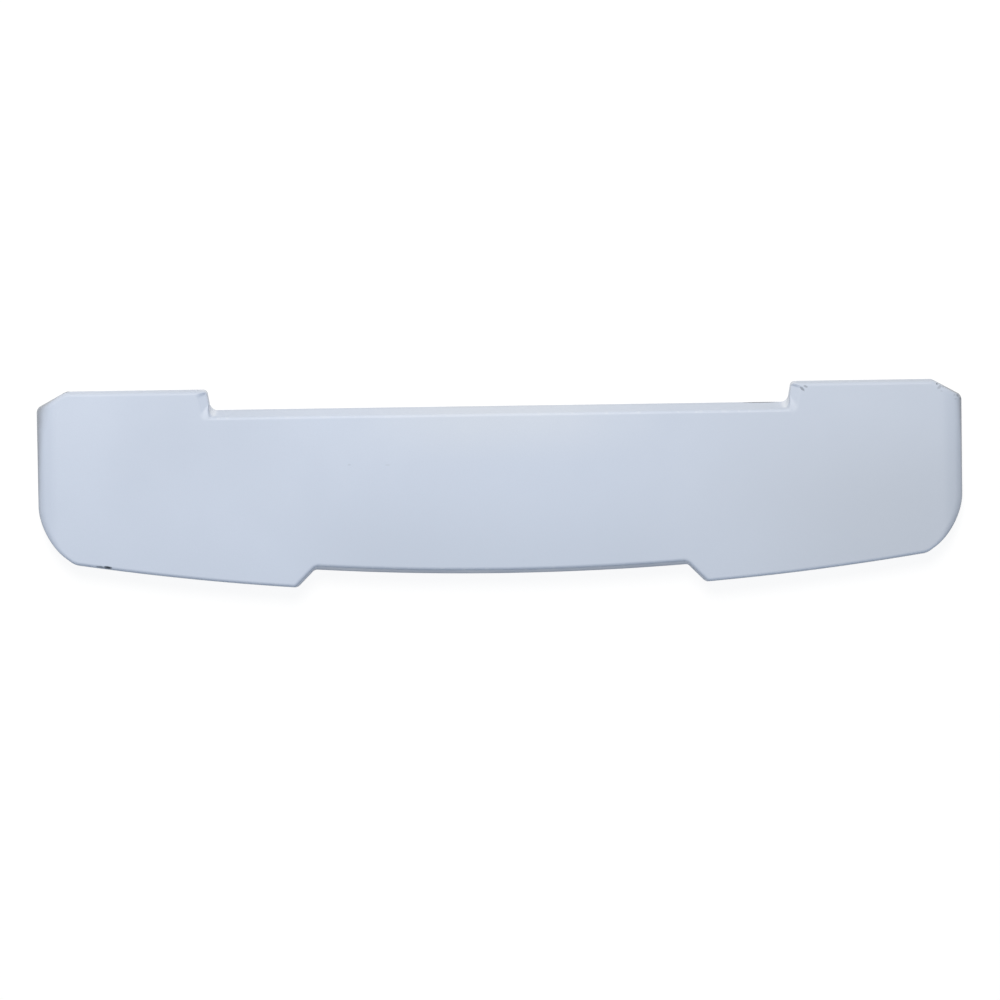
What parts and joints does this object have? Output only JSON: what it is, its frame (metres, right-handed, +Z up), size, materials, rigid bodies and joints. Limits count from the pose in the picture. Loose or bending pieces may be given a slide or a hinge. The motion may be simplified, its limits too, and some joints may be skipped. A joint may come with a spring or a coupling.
{
  "type": "roof spoiler",
  "caption": "Wide moulded roof spoiler shell, open underneath, with a recessed front edge between two shoulders and a rear notch for a brake lamp.",
  "frame": {"origin": "centre of the box round the spoiler, on the plane of its rim, which is the roof", "axes": "+X across the car to the right of someone who looks forward, +Y to the front of the car, +Z up off the roof"},
  "size_m": [1.3, 0.2807, 0.0462],
  "materials": {
    "shell": "satin pale blue-grey, smooth outside with a faint ripple, duller inside"
  },
  "bodies": {
    "root": {"spoiler_shell": "shell"}
  },
  "joints": []
}
